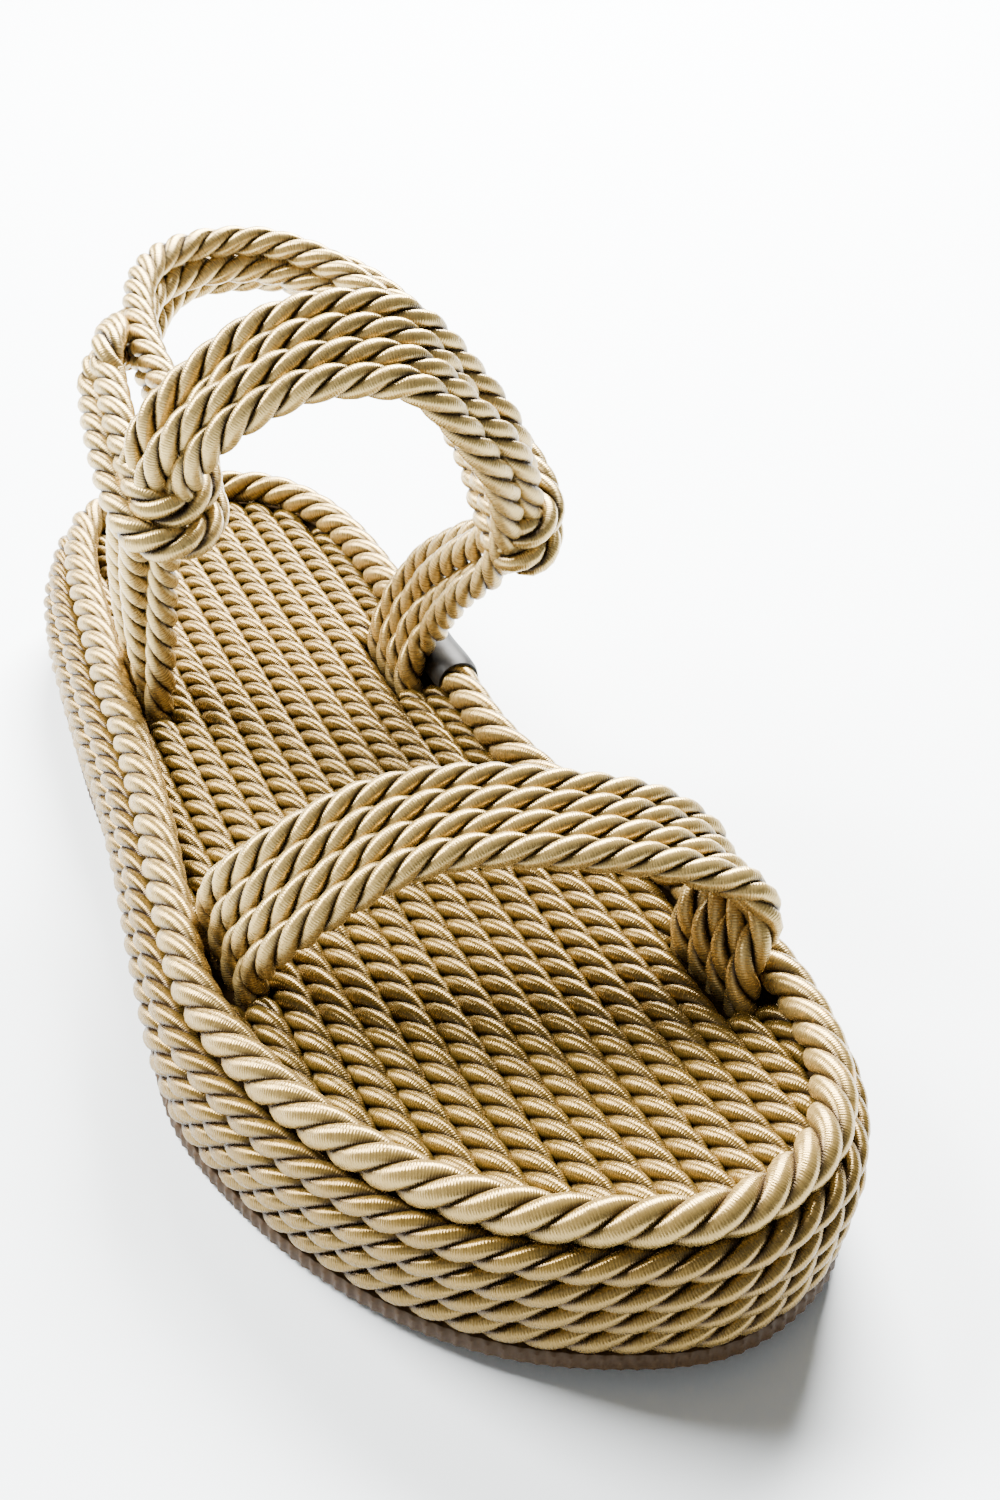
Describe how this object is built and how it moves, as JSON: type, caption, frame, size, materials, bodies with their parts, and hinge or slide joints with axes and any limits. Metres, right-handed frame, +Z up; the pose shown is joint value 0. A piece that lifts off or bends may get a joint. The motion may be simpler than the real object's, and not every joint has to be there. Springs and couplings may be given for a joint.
{
  "type": "rope sandal",
  "caption": "Rope sandal for a right foot, with a thick rope-wound sole, a toe strap, an instep band and a heel loop knotted to its legs.",
  "frame": {"origin": "on the floor, under the middle of the shoe's box", "axes": "+Z up, toe towards -Y, heel towards +Y, big-toe side towards +X"},
  "size_m": [0.1028, 0.2598, 0.117],
  "materials": {
    "outsole": "matt brown moulded rubber with fine ribs on its edge",
    "footbed_rope": "satin twisted cord in champagne beige",
    "side_rope": "satin twisted cord in champagne beige, each strand wound with fine thread",
    "strap_rope": "satin twisted cord, slightly darker and greyer beige",
    "sleeve": "smooth near-black heat-shrunk sleeve, unmarked"
  },
  "bodies": {
    "root": {"outsole": "outsole", "footbed": "footbed_rope", "side_rope_1": "side_rope", "side_rope_2": "side_rope", "side_rope_3": "side_rope", "side_rope_4": "side_rope", "rim_rope": "side_rope", "toe_strap": "strap_rope", "ankle_straps": "strap_rope", "rim_sleeve": "sleeve"}
  },
  "joints": []
}
